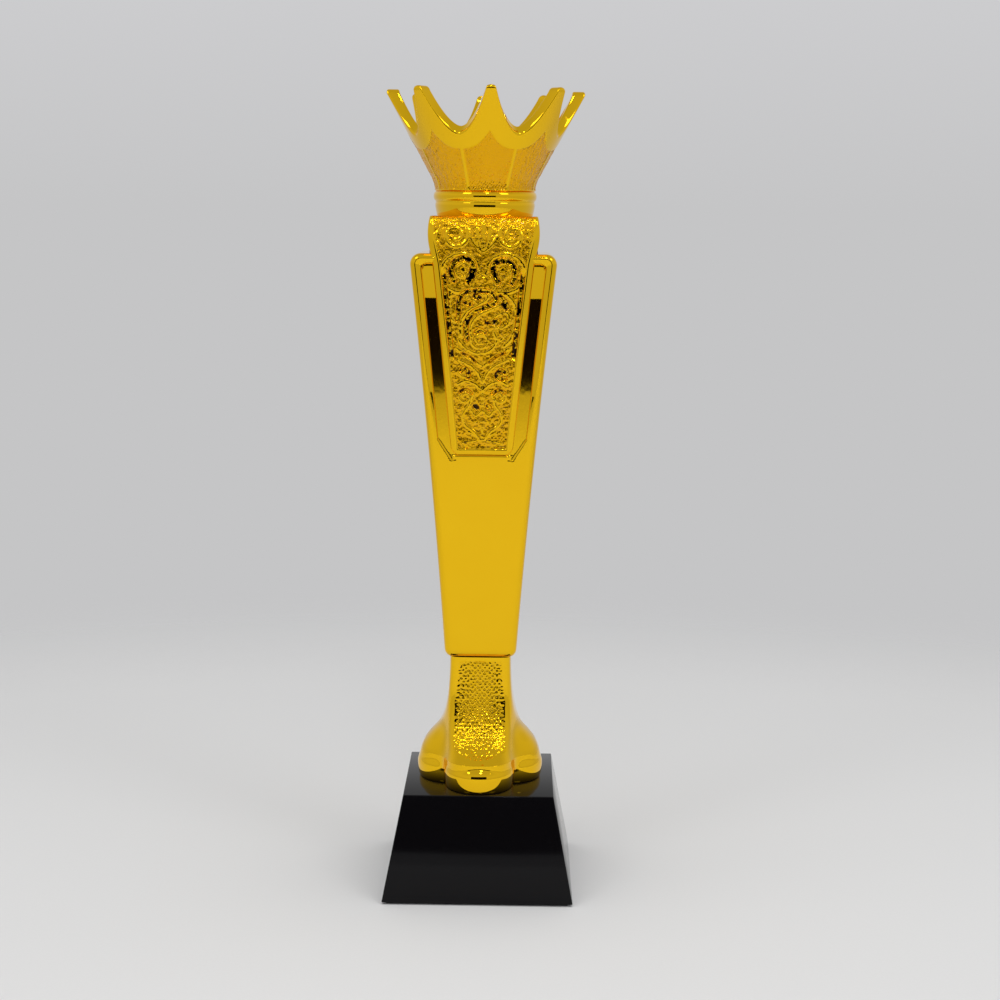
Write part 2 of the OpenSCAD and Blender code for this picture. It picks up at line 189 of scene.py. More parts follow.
# ---- Tie rod, nuts and washers --------------------------------------------------------
# Zinc-plated steel hardware from stock, hidden in the base and the column, apart from
# the washer in the bottom of the crown. The plating is bright with a faint blue bloom.
zinc = new_material("bright_zinc_plated_steel")
place = add_node(zinc, "TexCoord").outputs["Object"]
bloom = add_node(zinc, "TexNoise", {"Vector": place, "Scale": 220.0, "Detail": 3.0})
tone = add_node(zinc, "MixRGB", {"Fac": bloom.outputs[0], "Color1": linear("#AEB3BA"),
                                 "Color2": linear("#C9CBCC")})
spread = add_node(zinc, "MapRange", {"Value": bloom.outputs[0], "To Min": 0.22, "To Max": 0.38})
grain = add_node(zinc, "TexNoise", {"Vector": place, "Scale": 2500.0})
tooth = add_node(zinc, "Bump", {"Height": grain.outputs[0], "Distance": 0.02 * mm})
zinc_shader = add_node(zinc, "BsdfPrincipled", {
    "Base Color": tone.outputs[0], "Metallic": 1.0, "Roughness": spread.outputs[0],
    "Normal": tooth.outputs[0]})
add_node(zinc, "OutputMaterial", {"Surface": zinc_shader.outputs[0]})
for name in ("base_washer", "base_spring_washer", "base_nut", "tie_rod", "crown_washer"):
    finish_cad_node(name, zinc)

# ---- Plugs and foot plate -------------------------------------------------------------
# Moulded black ABS pieces inside the foot and the column. They keep the mould's fine
# spark-eroded grain, since nobody sees them.
moulded_abs = new_material("moulded_black_abs")
place = add_node(moulded_abs, "TexCoord").outputs["Object"]
spark = add_node(moulded_abs, "TexNoise", {"Vector": place, "Scale": 1800.0, "Detail": 2.0})
abs_tone = add_node(moulded_abs, "MixRGB", {"Fac": spark.outputs[0], "Color1": linear("#232325"),
                                            "Color2": linear("#303032")})
eroded = add_node(moulded_abs, "Bump", {"Height": spark.outputs[0], "Distance": 0.05 * mm})
abs_shader = add_node(moulded_abs, "BsdfPrincipled", {
    "Base Color": abs_tone.outputs[0], "Roughness": 0.55, "IOR": 1.53,
    "Normal": eroded.outputs[0]})
add_node(moulded_abs, "OutputMaterial", {"Surface": abs_shader.outputs[0]})
for name in ("foot_plate", "column_lower_plug", "column_upper_plug"):
    finish_cad_node(name, moulded_abs)

# ---- Foot -----------------------------------------------------------------------------
# Four-lobed foot moulded in ABS and vacuum-plated: a square neck spreads to a rolled lip,
# with hammered facets on its front and rear. It is hollow below, over the foot plate.
foot_low, foot_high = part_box("foot")
neck_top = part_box("column_front_shell")[0].z / mm
seat = foot_low.z / mm
lip_top = seat + 12
neck_half = 12.5
lip_r = 6
lip_tuck = 1.4
lobe_r = 15
side_reach = foot_high.x / mm
front_reach = foot_high.y / mm


def smooth_step(value, low, high):
    """Rise from 0 at low to 1 at high with a soft start and end."""
    share = np.clip((value - low) / (high - low), 0, 1)
    return share * share * (3 - 2 * share)


def dice(*numbers):
    """A fixed pseudo-random number between 0 and 1 for each set of whole numbers."""
    mixed = sum(n * k for n, k in zip(numbers, (127.1, 311.7, 74.7)))
    return np.abs(np.sin(mixed) * 43758.5453) % 1


def lumps(x, z, size):
    """Random soft lumps of about that size over a surface, from -1 to 1."""
    gx, gz = np.floor(x / size), np.floor(z / size)
    fx, fz = smooth_step(x / size - gx, 0, 1), smooth_step(z / size - gz, 0, 1)
    low_side = dice(gx, gz) * (1 - fx) + dice(gx + 1, gz) * fx
    high_side = dice(gx, gz + 1) * (1 - fx) + dice(gx + 1, gz + 1) * fx
    return 2 * (low_side * (1 - fz) + high_side * fz) - 1


def soft_max(a, b, blend):
    """The larger of two radii, with a fillet where they cross."""
    near = np.clip(blend - np.abs(a - b), 0, None) / blend
    return np.maximum(a, b) + near * near * blend / 4


def spread_half(reach, power, z):
    """Half width of the neck at height z as it spreads to a reach at the lip."""
    share = np.clip((z - lip_top) / (neck_top - lip_top), 0, 1)
    return neck_half + (reach - neck_half) * (1 - share) ** power


def to_circle(offset, radius, turn):
    """Distance from the axis to the far side of a circle whose centre is offset."""
    inside = radius ** 2 - (offset * np.sin(turn)) ** 2
    reach = offset * np.cos(turn) + np.sqrt(np.clip(inside, 0, None))
    return np.where((inside > 0) & (np.cos(turn) > 0), reach, 0)


def curve(*stops, gap=0.3):
    """A smooth line through given stops, as points about a gap apart, in mm."""
    points = [np.array(stops[0], float)] + [np.array(s, float) for s in stops]
    points.append(points[-1])
    line = []
    for a, b, c, d in zip(points, points[1:], points[2:], points[3:]):
        for t in np.linspace(0, 1, max(3, int(np.hypot(*(c - b)) / gap)), endpoint=False):
            line.append(0.5 * (2 * b + (c - a) * t + (2 * a - 5 * b + 4 * c - d) * t ** 2
                               + (3 * b - a - 3 * c + d) * t ** 3))
    return np.array(line + [points[-1]])


# Outline of the side lobes: reach from the axis and height, from the lip up to the neck
side_line = curve((26.3, 50), (26.3, 53), (25.8, 56), (24.9, 59), (23.3, 62), (21.2, 64.6),
                  (18.6, 67.4), (16.8, 70), (15.5, 73), (14.4, 77.2), (13.4, 83), (12.8, 91),
                  (12.5, 101), gap=0.1)


def rounded_square(cos, sin, half_x, half_y, power):
    """Distance from the axis to a rounded rectangle; a high power makes it squarer."""
    return ((cos / half_x) ** power + (sin / half_y) ** power) ** (-1 / power)


def foot_radius(angle, z):
    """Outer radius of the foot, in mm, at an angle about the axis and a height."""
    cos, sin = np.abs(np.cos(angle)) + 1e-9, np.abs(np.sin(angle)) + 1e-9
    share = np.clip((z - lip_top) / (neck_top - lip_top), 0, 1)
    front = rounded_square(cos, sin, neck_half + 3.2 * (1 - share) ** 2.2,
                           spread_half(front_reach - 2, 3.5, z),
                           3.0 + 6 * smooth_step(share, 0, 0.6))
    side = rounded_square(cos, sin, np.interp(z, side_line[:, 1], side_line[:, 0]),
                          neck_half + 2.4 * (1 - share) ** 2,
                          2.6 + 6.4 * smooth_step(share, 0.25, 0.75))
    body = soft_max(front, side, 2.0 + 4 * (1 - share) ** 2)
    lip = np.zeros(angle.shape)
    for turn in (0, math.pi, math.pi / 2, -math.pi / 2):
        reach = side_reach if abs(math.cos(turn)) > 0.5 else front_reach
        lip = soft_max(lip, to_circle(reach - lobe_r, lobe_r, angle - turn), 0.8)
    bend = np.clip(np.abs(z - seat - lip_r) / lip_r, 0, 1)
    tuck = np.where(z > seat + lip_r, lip_r, lip_tuck)
    lip = np.where((bend < 1) | (z < lip_top - 1), lip - tuck * (1 - np.sqrt(1 - bend ** 2)), 0)
    return np.where(z > seat + lip_r, soft_max(lip, body, 0.5), lip)


blow_pitch, blow_rise = 2.05, 1.18
blow_high, blow_sunk = 0.34, 0.36


def hammered(x, z):
    """Small raised blows in staggered rows, each a little off its place."""
    row = np.floor(z / blow_rise)
    height = np.zeros(x.shape)
    for up in (-1, 0, 1):
        line = row + up
        shift = (line % 2) * 0.5
        column = np.round(x / blow_pitch - shift)
        for side in (-1, 0, 1):
            blow = column + side
            cx = (blow + shift + 0.3 * (dice(blow, line, 1) - 0.5)) * blow_pitch
            cz = (line + 0.5 + 0.5 * (dice(blow, line, 2) - 0.5)) * blow_rise
            size = 0.85 + 0.35 * dice(blow, line, 3)
            share = np.clip(np.hypot(x - cx, (z - cz) * 1.12) / size, 0, 1)
            height = np.maximum(height, blow_high * (1 - share ** 2) * (0.6 + 0.4 * size))
    return height


def shaped_grid(columns, rows, shape):
    """A grid of faces moved, in mm, to where shape(u, v) puts it.

    The shape also gives each corner's grain, which the gold reads: above 0 it is stippled and
    painted a deeper tone as shade, and below 0 it is a cut groove painted dark as shade.
    """
    bm = bmesh.new()
    bmesh.ops.create_grid(bm, x_segments=columns, y_segments=rows, size=0.5)
    flat = np.array([v.co[:2] for v in bm.verts]) + 0.5
    u, v = np.round(flat[:, 0] * columns) / columns, np.round(flat[:, 1] * rows) / rows
    x, y, z, grain = shape(u, v)
    layer = bm.verts.layers.float.new("grain")
    for corner, point, rough in zip(bm.verts, np.column_stack((x, y, z)) * mm, grain):
        corner.co = point
        corner[layer] = rough
    return bm


same_point = 0.002 * mm


def weld(bm):
    """Close the seams of a wrapped grid and turn its faces outwards."""
    bmesh.ops.remove_doubles(bm, verts=bm.verts[:], dist=same_point)
    bmesh.ops.dissolve_degenerate(bm, edges=bm.edges[:], dist=same_point)
    bmesh.ops.recalc_face_normals(bm, faces=bm.faces[:])


# Key, bore and hollow of the foot from the top down: radius, and height from the neck's top.
# The key on top is square, with this half width
key_half = 6.0
void_rows = [(key_half, 0), (key_half, 5.3), (rod_bore, 5.3), (rod_bore, -3), (9.5, -3),
             (9.5, -31), (14.5, -43), (14.5, -51.8), (16, -51.8), (16, -55)]
foot_columns, outer_rows = 288, 216
foot_rows = outer_rows + len(void_rows) + 1
lip_share = 0.16


def foot_shape(u, v):
    """Climb from the lip up to the neck, and then go down inside the key and the hollow."""
    # The columns bunch up at the front and rear, which are hammered
    angle = u * 2 * math.pi + 0.25 * np.sin(4 * math.pi * u)
    row = np.round(v * foot_rows)
    climb = np.clip(row / outer_rows, 0, 1)
    low = seat + lip_r * (1 - np.cos(np.clip(climb / lip_share, 0, 1) * math.pi))
    z = np.where(climb < lip_share, low,
                 lip_top + (neck_top - lip_top) * (climb - lip_share) / (1 - lip_share))
    radius = foot_radius(angle, z)
    x, y = radius * np.cos(angle), radius * np.sin(angle)
    half = 9 + 2.2 * (neck_top - 2 - z) / 35
    floor = lip_top + 1.9 + 0.02 * x ** 2
    mask = (smooth_step(half - np.abs(x), 0, 0.4) * smooth_step(z, floor, floor + 0.5)
            * smooth_step(neck_top - 1.6 - z, 0, 0.4) * (np.abs(y) > np.abs(x) * 0.9))
    push = mask * (hammered(x, z) - blow_sunk)
    x, y = x + push * np.cos(angle), y + push * np.sin(angle)
    for i, (r, z_off) in enumerate(void_rows):
        here = row == outer_rows + 1 + i
        square = key_half / np.maximum(np.abs(np.cos(angle)), np.abs(np.sin(angle)))
        reach = np.where(r == key_half, square, r)
        x, y = np.where(here, reach * np.cos(angle), x), np.where(here, reach * np.sin(angle), y)
        z = np.where(here, neck_top + z_off, z)
    last = row == foot_rows
    first = foot_radius(angle, np.full(angle.shape, seat))
    x, y = np.where(last, first * np.cos(angle), x), np.where(last, first * np.sin(angle), y)
    return x, y, np.where(last, seat, z), mask * 0.12


bm = shaped_grid(foot_columns, foot_rows, foot_shape)
weld(bm)

# Vacuum-plated gold: bright aluminium under clear yellow lacquer on moulded ABS. It is a
# mirror with a very slight orange-peel, and the lacquer pools a little deeper in places.
plated_gold = new_material("vacuum_plated_gold")
place = add_node(plated_gold, "TexCoord").outputs["Object"]
pools = add_node(plated_gold, "TexNoise", {"Vector": place, "Scale": 60.0, "Detail": 2.0})
smooth_tone = add_node(plated_gold, "MixRGB", {"Fac": pools.outputs[0],
                                               "Color1": linear("#F8C30F"),
                                               "Color2": linear("#FBC913")})
# Where the mould was stippled the gold is painted a deeper orange as painted shade, and the cut
# grooves are painted dark brown as painted shade
grain = add_node(plated_gold, "Attribute", attribute_name="grain").outputs["Fac"]
stippled = add_node(plated_gold, "MapRange", {"Value": grain}).outputs[0]
groove_shade = add_node(plated_gold, "MapRange", {"Value": grain, "From Min": -0.8, "From Max": -0.3,
                                            "To Min": 1.0, "To Max": 0.0}).outputs[0]
# Painted shade: the stippled ground is painted a deeper, more orange gold
stipple_shade_tone = add_node(plated_gold, "MixRGB", {"Fac": stippled, "Color1": smooth_tone.outputs[0],
                                             "Color2": linear("#F2B20C")})
# Painted shade: the cut grooves are painted dark brown
gold_tone = add_node(plated_gold, "MixRGB", {"Fac": groove_shade, "Color1": stipple_shade_tone.outputs[0],
                                             "Color2": linear("#2E1B05")})
gloss = add_node(plated_gold, "MapRange", {"Value": pools.outputs[0], "To Min": 0.035,
                                           "To Max": 0.055})
dull = add_node(plated_gold, "Math", {0: stippled, 1: 0.2, 2: gloss.outputs[0]},
                operation="MULTIPLY_ADD")
peel = add_node(plated_gold, "TexNoise", {"Vector": place, "Scale": 300.0, "Detail": 1.0})
skin = add_node(plated_gold, "Bump", {"Height": peel.outputs[0], "Distance": 0.006 * mm})
pits = add_node(plated_gold, "TexNoise", {"Vector": place, "Scale": 1000.0, "Detail": 2.0})
deep = add_node(plated_gold, "Math", {0: pits.outputs[0], 1: stippled}, operation="MULTIPLY")
tooled = add_node(plated_gold, "Bump", {"Height": deep.outputs[0], "Distance": 0.3 * mm,
                                        "Normal": skin.outputs[0]})
gold_shader = add_node(plated_gold, "BsdfPrincipled", {
    "Base Color": gold_tone.outputs[0], "Metallic": 1.0, "Roughness": dull.outputs[0],
    "Coat Weight": 0.15, "Coat Roughness": 0.04, "Normal": tooled.outputs[0]})
add_node(plated_gold, "OutputMaterial", {"Surface": gold_shader.outputs[0]})

foot = add_piece("hammered_foot", bm, plated_gold, sharp=50)
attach(foot, "root")
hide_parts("foot")

# ---- Column shells --------------------------------------------------------------------
# Two plated mouldings that meet at the sides on a fine parting line. Rolled rails run up
# both edges and over the shoulder, with a deep channel inside them beside each tongue.
shell_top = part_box("column_front_shell")[1].z / mm
shoulder_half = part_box("column_front_shell")[1].x / mm
shoulder_deep = -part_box("column_front_shell")[0].y / mm
foot_half_w, foot_half_d = 15, 14.6
shoulder_r, heel_r = 5.0, 3.5
rail_w = 4.2
channel_w = 5.0
channel_shallow, channel_deep = 0.3, 3.0
roll_start = shell_top - rail_w
tongue_foot = shell_top - 83
slant_foot = tongue_foot - 8


def column_half(z):
    """Half width of the column at height z."""
    share = (z - neck_top) / (shell_top - neck_top)
    return foot_half_w + (shoulder_half - foot_half_w) * (0.78 * share + 0.22 * share ** 2)


def column_deep(z):
    """Half depth of the column at height z."""
    return foot_half_d + (shoulder_deep - foot_half_d) * (z - neck_top) / (shell_top - neck_top)


def from_edge(x, z):
    """Distance in from the column's outline, which has rounded corners."""
    gap = column_half(z) - np.abs(x)
    for level, r, way in ((shell_top, shoulder_r, 1), (neck_top, heel_r, -1)):
        to_end = (level - z) * way
        corner = r - np.hypot(r - gap, r - to_end)
        gap = np.where((to_end < r) & (gap < r), corner, np.minimum(gap, to_end))
    return gap


def rounded(distance, r):
    """How far a face drops at a distance in from an edge rounded to radius r."""
    return r - np.sqrt(np.clip(r ** 2 - np.clip(r - distance, 0, r) ** 2, 0, None))


def in_channel(x, z):
    """Distance in from the channel's edge: the rail, the shoulder and a slanting foot."""
    x = np.abs(x)
    to_rail = column_half(z) - rail_w - x
    to_top = roll_start - z
    corner = 2.5 - np.hypot(2.5 - to_rail, 2.5 - to_top)
    gap = np.where((to_rail < 2.5) & (to_top < 2.5), corner, np.minimum(to_rail, to_top))
    slant = (z - tongue_foot + 0.3 - 1.55 * (x - 13.7)) * 0.54
    return np.minimum(gap, np.where(x > 12, slant, z - tongue_foot))


def face_drop(x, z):
    """How far the column's face lies behind its flat outline at a point."""
    edge = from_edge(x, z)
    groove = in_channel(x, z)
    rail = smooth_step(z, tongue_foot - 2, tongue_foot + 50)
    drop = rounded(edge, 3.3 - 0.7 * rail) + 0.45 * rail * np.clip(edge - 2, 0, rail_w - 2)
    wall = smooth_step(groove, -0.05, 0.35)
    climb = (z - slant_foot) / (shell_top - slant_foot)
    deep = channel_shallow + (channel_deep - channel_shallow) * climb
    # Under the shoulder the channel's floor bends back and then leans at a steady slope
    bend = np.clip(z - (shell_top - 23), 0, 6)
    back = bend ** 2 * 0.014 + np.clip(z - (shell_top - 17), 0, None) * 0.168
    drop = drop + wall * (deep - drop + back)
    # Behind the panel the shell is lowered, so that it stays clear of the rolled back
    behind = smooth_step(column_half(z) - rail_w - channel_w - 1.5 - np.abs(x), 0, 0.8)
    return drop + behind * smooth_step(z, roll_start - 3, roll_start - 1) * 2


face_columns, face_rows = 112, 264


def shell_shape(u, v):
    """Front face: columns follow the rails and the channel, rows bunch up at the ends."""
    end = 0.045
    along = (v - end) / (1 - 2.4 * end)
    straight = np.interp(along, (0, 0.32, 0.6, 1), (neck_top + heel_r, tongue_foot - 5,
                                                    tongue_foot + 12, shell_top - shoulder_r))
    z = np.where(v < end, neck_top + heel_r * (1 - np.cos(v / end * math.pi / 2)), straight)
    high = np.clip((v - 1 + 1.4 * end) / (1.4 * end), 0, 1)
    z = np.where(high > 0, shell_top - shoulder_r * (1 - np.sin(high * math.pi / 2)), z)
    half = column_half(z)
    inset = rounded(shell_top - z, shoulder_r) + rounded(z - neck_top, heel_r)
    across = np.abs(u - 0.5) * 2
    stops = [0, 0.16, 0.2, 0.24, 0.4, 0.48, 0.56, 0.72, 1]
    places = [0 * half, half - 10.4, half - 9.2, half - 8, half - 5.1, half - 4.2, half - 3.4,
              half - 2.2, half]
    x = np.zeros(u.shape)
    for low_stop, high_stop, low_x, high_x in zip(stops, stops[1:], places, places[1:]):
        share = np.clip((across - low_stop) / (high_stop - low_stop), 0, 1)
        if high_stop == 1:
            share = np.sin(share * math.pi / 2)
        x = np.where(across >= low_stop, low_x + (high_x - low_x) * share, x)
    x = x * (half - inset) / half * np.sign(u - 0.5)
    return x, face_drop(x, z) - column_deep(z), z, np.zeros(x.shape)


def pull_border(bm, edges, step):
    """Extrude an edge loop once and move each new corner where step(co) puts it."""
    made = bmesh.ops.extrude_edge_only(bm, edges=edges)["geom"]
    corners = {g for g in made if isinstance(g, bmesh.types.BMVert)}
    for corner in corners:
        corner.co = step(corner.co)
    return [g for g in made if isinstance(g, bmesh.types.BMEdge) and set(g.verts) <= corners]


def toward_middle(co, margin, y):
    """Move a point of the column's outline in by a margin, at a given depth."""
    half = column_half(co.z / mm)
    x = co.x * (half - margin) / half
    middle, reach = (neck_top + shell_top) / 2, (shell_top - neck_top) / 2
    z = middle + (co.z / mm - middle) * (reach - margin) / reach
    return Vector((x, y * mm, z * mm))


bm = shaped_grid(face_columns, face_rows, shell_shape)
edge_loop = [e for e in bm.edges if len(e.link_faces) == 1]
for share in (0.6, 0.25, 0.02):
    edge_loop = pull_border(bm, edge_loop, lambda co: Vector((
        co.x, -share * (column_deep(co.z / mm) - 3.3) * mm, co.z)))
edge_loop = pull_border(bm, edge_loop, lambda co: toward_middle(co, 0.12, 0))
edge_loop = pull_border(bm, edge_loop, lambda co: toward_middle(co, 2.4, 0))
edge_loop = pull_border(bm, edge_loop, lambda co: toward_middle(
    co, 0.02, 5.5 - column_deep(co.z / mm)))
bmesh.ops.contextual_create(bm, geom=edge_loop)
bmesh.ops.recalc_face_normals(bm, faces=bm.faces[:])

for name, turn in (("front", 0), ("rear", math.pi)):
    half_shell = bm.copy()
    bmesh.ops.rotate(half_shell, verts=half_shell.verts[:], cent=(0, 0, 0),
                     matrix=Matrix.Rotation(turn, 3, "Z"))
    shell = add_piece("column_shell_" + name, half_shell, plated_gold, sharp=55)
    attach(shell, "root")
    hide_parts("column_" + name + "_shell")
bm.free()

# ---- Front and rear panels ------------------------------------------------------------
# A plated tongue with a smooth bead round cast scrollwork lies between the channels and
# rolls back over the head. The ground of the scrollwork is finely stippled.
head_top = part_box("front_panel")[1].z / mm
head_half_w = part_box("column_head")[1].x / mm
bead_w = 3.2
field_deep = 1.2
panel_thick = 3.4
panel_proud = 0.4
panel_foot_r = 4
roll_in = 3.8
swell = shell_top + 3


def head_half(z):
    """Half width of the head, which swells a little between its ends."""
    return head_half_w - ((z - shell_top) / 7.5 - 1.1) ** 2


def panel_half(z):
    """Half width of the panel at height z."""
    low = column_half(np.minimum(z, roll_start)) - rail_w - channel_w
    share = np.clip((z - roll_start) / (swell - roll_start), 0, 1)
    return np.where(z < swell, low + (head_half(swell) - low) * share, head_half(z))


def panel_y(z):
    """How far forward the panel's face stands at height z."""
    roll = np.clip((z - roll_start) / (head_top - roll_start), 0, 1)
    return (column_deep(np.minimum(z, roll_start)) + panel_proud
            - roll_in * (1 - np.sqrt(np.clip(1 - roll ** 2, 0, 1))))


def scroll(cx, cz, outer, inner, start, sweep):
    """A volute that winds in from an outer to an inner radius; angles in degrees."""
    turn = np.linspace(0, 1, 70)
    angle = np.radians(start + sweep * turn)
    r = outer + (inner - outer) * turn
    return np.column_stack((cx + r * np.cos(angle), cz + r * np.sin(angle)))


def both_sides(line):
    """A line and its mirror image."""
    return [line, line * np.array((-1, 1))]


# Strokes of the scrollwork: a line, its half width at its start and end, and its height.
# The lines run across the panel and up from the shelf, in mm, and cast strokes spread a little
stroke_spread = 1.25
strokes = []
for line in both_sides(curve((4.2, 268.6), (8.8, 270.0), (14.3, 268.2), (17.0, 263.2),
                             (15.8, 257.8), (11.6, 254.8), (6.4, 254.4))):
    strokes.append((line, 1.0, 1.25, 1.0))
for line in both_sides(curve((1.4, 262.6), (2.2, 266.4), (4.4, 268.8))):
    strokes.append((line, 0.8, 0.9, 0.9))
for cx in (-8.4, 8.3):
    strokes.append((scroll(cx, 263.2, 3.2, 2.6, 0, 360), 0.55, 0.55, 1.0))
    strokes.append((curve((cx - 0.1, 263.2), (cx + 0.1, 263.2)), 1.9, 1.9, 0.8))
for line in both_sides(curve((0, 253.9), (2.6, 254.4), (4.6, 256.6), (3.6, 259.6), (0, 262.2))):
    strokes.append((line, 0.75, 0.6, 0.9))
strokes.append((curve((0, 255), (0, 260)), 2.6, 1.8, 0.7))
strokes.append((curve((-13.6, 254.2), (-14.0, 249.4), (-13.2, 244.2), (-11.4, 242.6)),
                1.35, 1.1, 1.0))
strokes.append((curve((6.4, 254.2), (10.6, 252.6), (13.2, 248.4), (13.4, 242.4), (11.8, 236.2),
                      (8.6, 232.6)), 1.1, 1.1, 1.0))
strokes.append((curve((-9.9, 245.2), (-9.6, 250.6), (-7.4, 254.6), (-4.2, 254.0), (-3.4, 251.4),
                      (-5.6, 249.8), (-7.4, 251.8), (-6.2, 252.8)), 0.9, 0.7, 1.0))
strokes.append((curve((-9.2, 236.6), (-9.1, 242.0), (-6.6, 246.4), (-2.2, 249.2), (1.4, 251.4),
                      (1.6, 253.6), (-0.8, 253.2)), 1.1, 0.8, 1.0))
strokes.append((curve((-5.1, 236.4), (-4.9, 241.0), (-2.4, 244.6), (2.4, 247.2), (6.4, 249.0),
                      (8.2, 251.2), (5.4, 253.2)), 0.95, 0.8, 1.0))
strokes.append((curve((3.4, 242.8), (6.0, 245.4), (9.8, 246.0), (10.6, 242.8), (8.2, 240.2),
                      (4.8, 240.4)), 0.95, 0.8, 0.95))
strokes.append((scroll(-0.9, 235.0, 3.9, 1.2, 160, 500), 0.75, 0.6, 1.0))
strokes.append((curve((-9.8, 235.0), (-7.2, 231.8), (-2.2, 229.6), (2.8, 230.8), (5.6, 234.6),
                      (4.6, 238.2)), 0.9, 0.9, 1.0))
strokes.append((curve((7.2, 235.0), (9.6, 237.4)), 1.2, 0.8, 0.8))
for line in both_sides(curve((10.4, 231.4), (5.6, 228.0), (0.4, 224.6))):
    strokes.append((line, 1.2, 1.0, 1.0))
for line in both_sides(curve((10.2, 227.0), (5.2, 224.6), (1.8, 221.4), (0.2, 217.6))):
    strokes.append((line, 0.85, 0.9, 0.95))
for cx, way in ((-7.2, 1), (7.4, -1)):
    strokes.append((scroll(cx, 221.6, 2.5, 0.8, 90, 430 * way), 0.7, 0.6, 1.0))
for line in both_sides(curve((10.0, 216.8), (7.2, 218.2), (3.6, 217.2), (0.2, 214.6))):
    strokes.append((line, 1.15, 0.9, 0.95))
for side in (-1, 1):
    strokes.append((scroll(side * 7.1, 211.6, 2.9, 0.9, 90, -470 * side), 0.75, 0.6, 1.0))
for line in both_sides(curve((3.9, 213.0), (5.4, 208.4), (7.9, 204.4), (7.0, 200.2), (3.2, 197.0),
                             (0.9, 193.8))):
    strokes.append((line, 0.85, 0.8, 1.0))
strokes.append((curve((-4.6, 206.0), (-2.5, 203.9), (0, 205.9), (2.6, 203.9), (4.7, 206.0)),
                0.8, 0.8, 0.95))
strokes.append((curve((-3.4, 200.9), (0, 201.6), (3.4, 200.9)), 0.65, 0.65, 0.9))
strokes.append((curve((0.1, 216), (0.1, 207.6)), 0.9, 0.7, 0.9))
for tip_x, tip_z in ((-8.0, 192.4), (-5.6, 197.0), (0, 199.4), (5.6, 197.0), (8.0, 192.4)):
    strokes.append((curve((0, 193.6), (tip_x * 0.6, tip_z * 0.6 + 77.6), (tip_x, tip_z)),
                    0.6, 0.85, 0.9))
strokes.append((curve((-8.6, 191.6), (-4.4, 190.6), (0, 190.2), (4.4, 190.6), (8.6, 191.6)),
                0.5, 0.5, 0.8))
for side in (-1, 1):
    strokes.append((scroll(side * 11.4, 277.2, 5.4, 1.5, 90 + 60 * side, 500 * side),
                    1.1, 0.8, 1.1))
    strokes.append((curve((side * 18.6, 271.4), (side * 19.4, 275.0), (side * 18.2, 279.4)),
                    1.0, 0.9, 0.9))
for tip_x, tip_z in ((-5.4, 277.0), (-2.9, 280.2), (0, 281.4), (2.9, 280.2), (5.4, 277.0)):
    strokes.append((curve((0, 270.6), (tip_x * 0.6, 273.4), (tip_x, tip_z)), 0.7, 1.1, 0.95))


# Grooves cut right down to the ground between the leaves: a line and its half width
groove_spread = 1.15
grooves = [
    (curve((-11.8, 259.2), (-13.0, 262.6), (-12.0, 266.2), (-8.4, 268.2), (-4.6, 266.8),
           (-3.9, 263.4), (-5.4, 260.4)), 1.05),
    (curve((11.8, 258.4), (12.9, 261.8), (11.8, 265.4), (8.2, 267.4), (4.4, 266.0), (3.8, 262.6),
           (5.4, 259.6)), 1.05),
    (curve((-4.2, 263.8), (-4.8, 261.2), (-5.9, 259.0)), 1.4),
    (curve((4.2, 263.0), (4.8, 260.6), (5.8, 258.8)), 1.25),
    (curve((-3.4, 254.9), (0.4, 255.1), (3.6, 254.0), (5.2, 251.2), (2.6, 249.2), (-0.4, 248.0),
           (-4.0, 246.4), (-6.4, 243.0), (-7.0, 239.0), (-6.4, 235.8)), 0.95),
    (curve((-5.0, 255.0), (-8.4, 253.8), (-10.0, 250.0), (-9.9, 246.0), (-10.4, 243.0)), 0.85),
    (curve((-7.8, 250.6), (-6.2, 249.4), (-4.6, 250.0)), 0.7),
    (curve((-3.4, 252.8), (-1.4, 252.2)), 0.9),
    (curve((6.8, 253.0), (8.8, 251.0), (9.8, 248.6)), 0.85),
    (curve((8.0, 249.6), (9.2, 248.0)), 0.8),
    (curve((0.6, 242.4), (3.2, 242.1), (6.2, 242.8)), 0.65), (curve((5.0, 242.8), (5.9, 242.2)), 1.2),
    (curve((-3.0, 238.2), (-1.2, 239.3), (0.8, 238.2)), 0.75),
    (curve((-8.6, 229.7), (-5.4, 228.2), (-3.0, 226.2)), 0.55),
    (curve((9.0, 229.9), (5.6, 228.3), (2.6, 225.9)), 0.55),
    (curve((-8.8, 222.4), (-7.4, 223.6), (-5.8, 221.6), (-6.0, 219.8)), 0.8),
    (curve((8.8, 222.0), (7.2, 222.6), (5.6, 220.8), (6.6, 219.2), (9.2, 219.6)), 0.8),
    (curve((-9.4, 213.6), (-7.0, 214.7), (-4.4, 213.2)), 0.6),
    (curve((9.2, 213.5), (6.8, 214.6), (4.2, 213.1)), 0.6),
    (curve((-2.9, 207.7), (-2.3, 207.2)), 0.95), (curve((2.4, 207.7), (2.9, 207.2)), 0.95),
    (curve((-6.4, 189.9), (-3.4, 189.5), (0, 189.3), (3.4, 189.5), (6.4, 189.9)), 0.5)]


def nearest_on(line, x, z, reach):
    """Points of the surface near a line, how far off they are and where along it."""
    near = np.flatnonzero((x > line[:, 0].min() - reach) & (x < line[:, 0].max() + reach)
                          & (z > line[:, 1].min() - reach) & (z < line[:, 1].max() + reach))
    gap = np.hypot(x[near, None] - line[None, :, 0], z[near, None] - line[None, :, 1])
    nearest = gap.argmin(1)
    return near, gap[np.arange(near.size), nearest], nearest / (len(line) - 1)


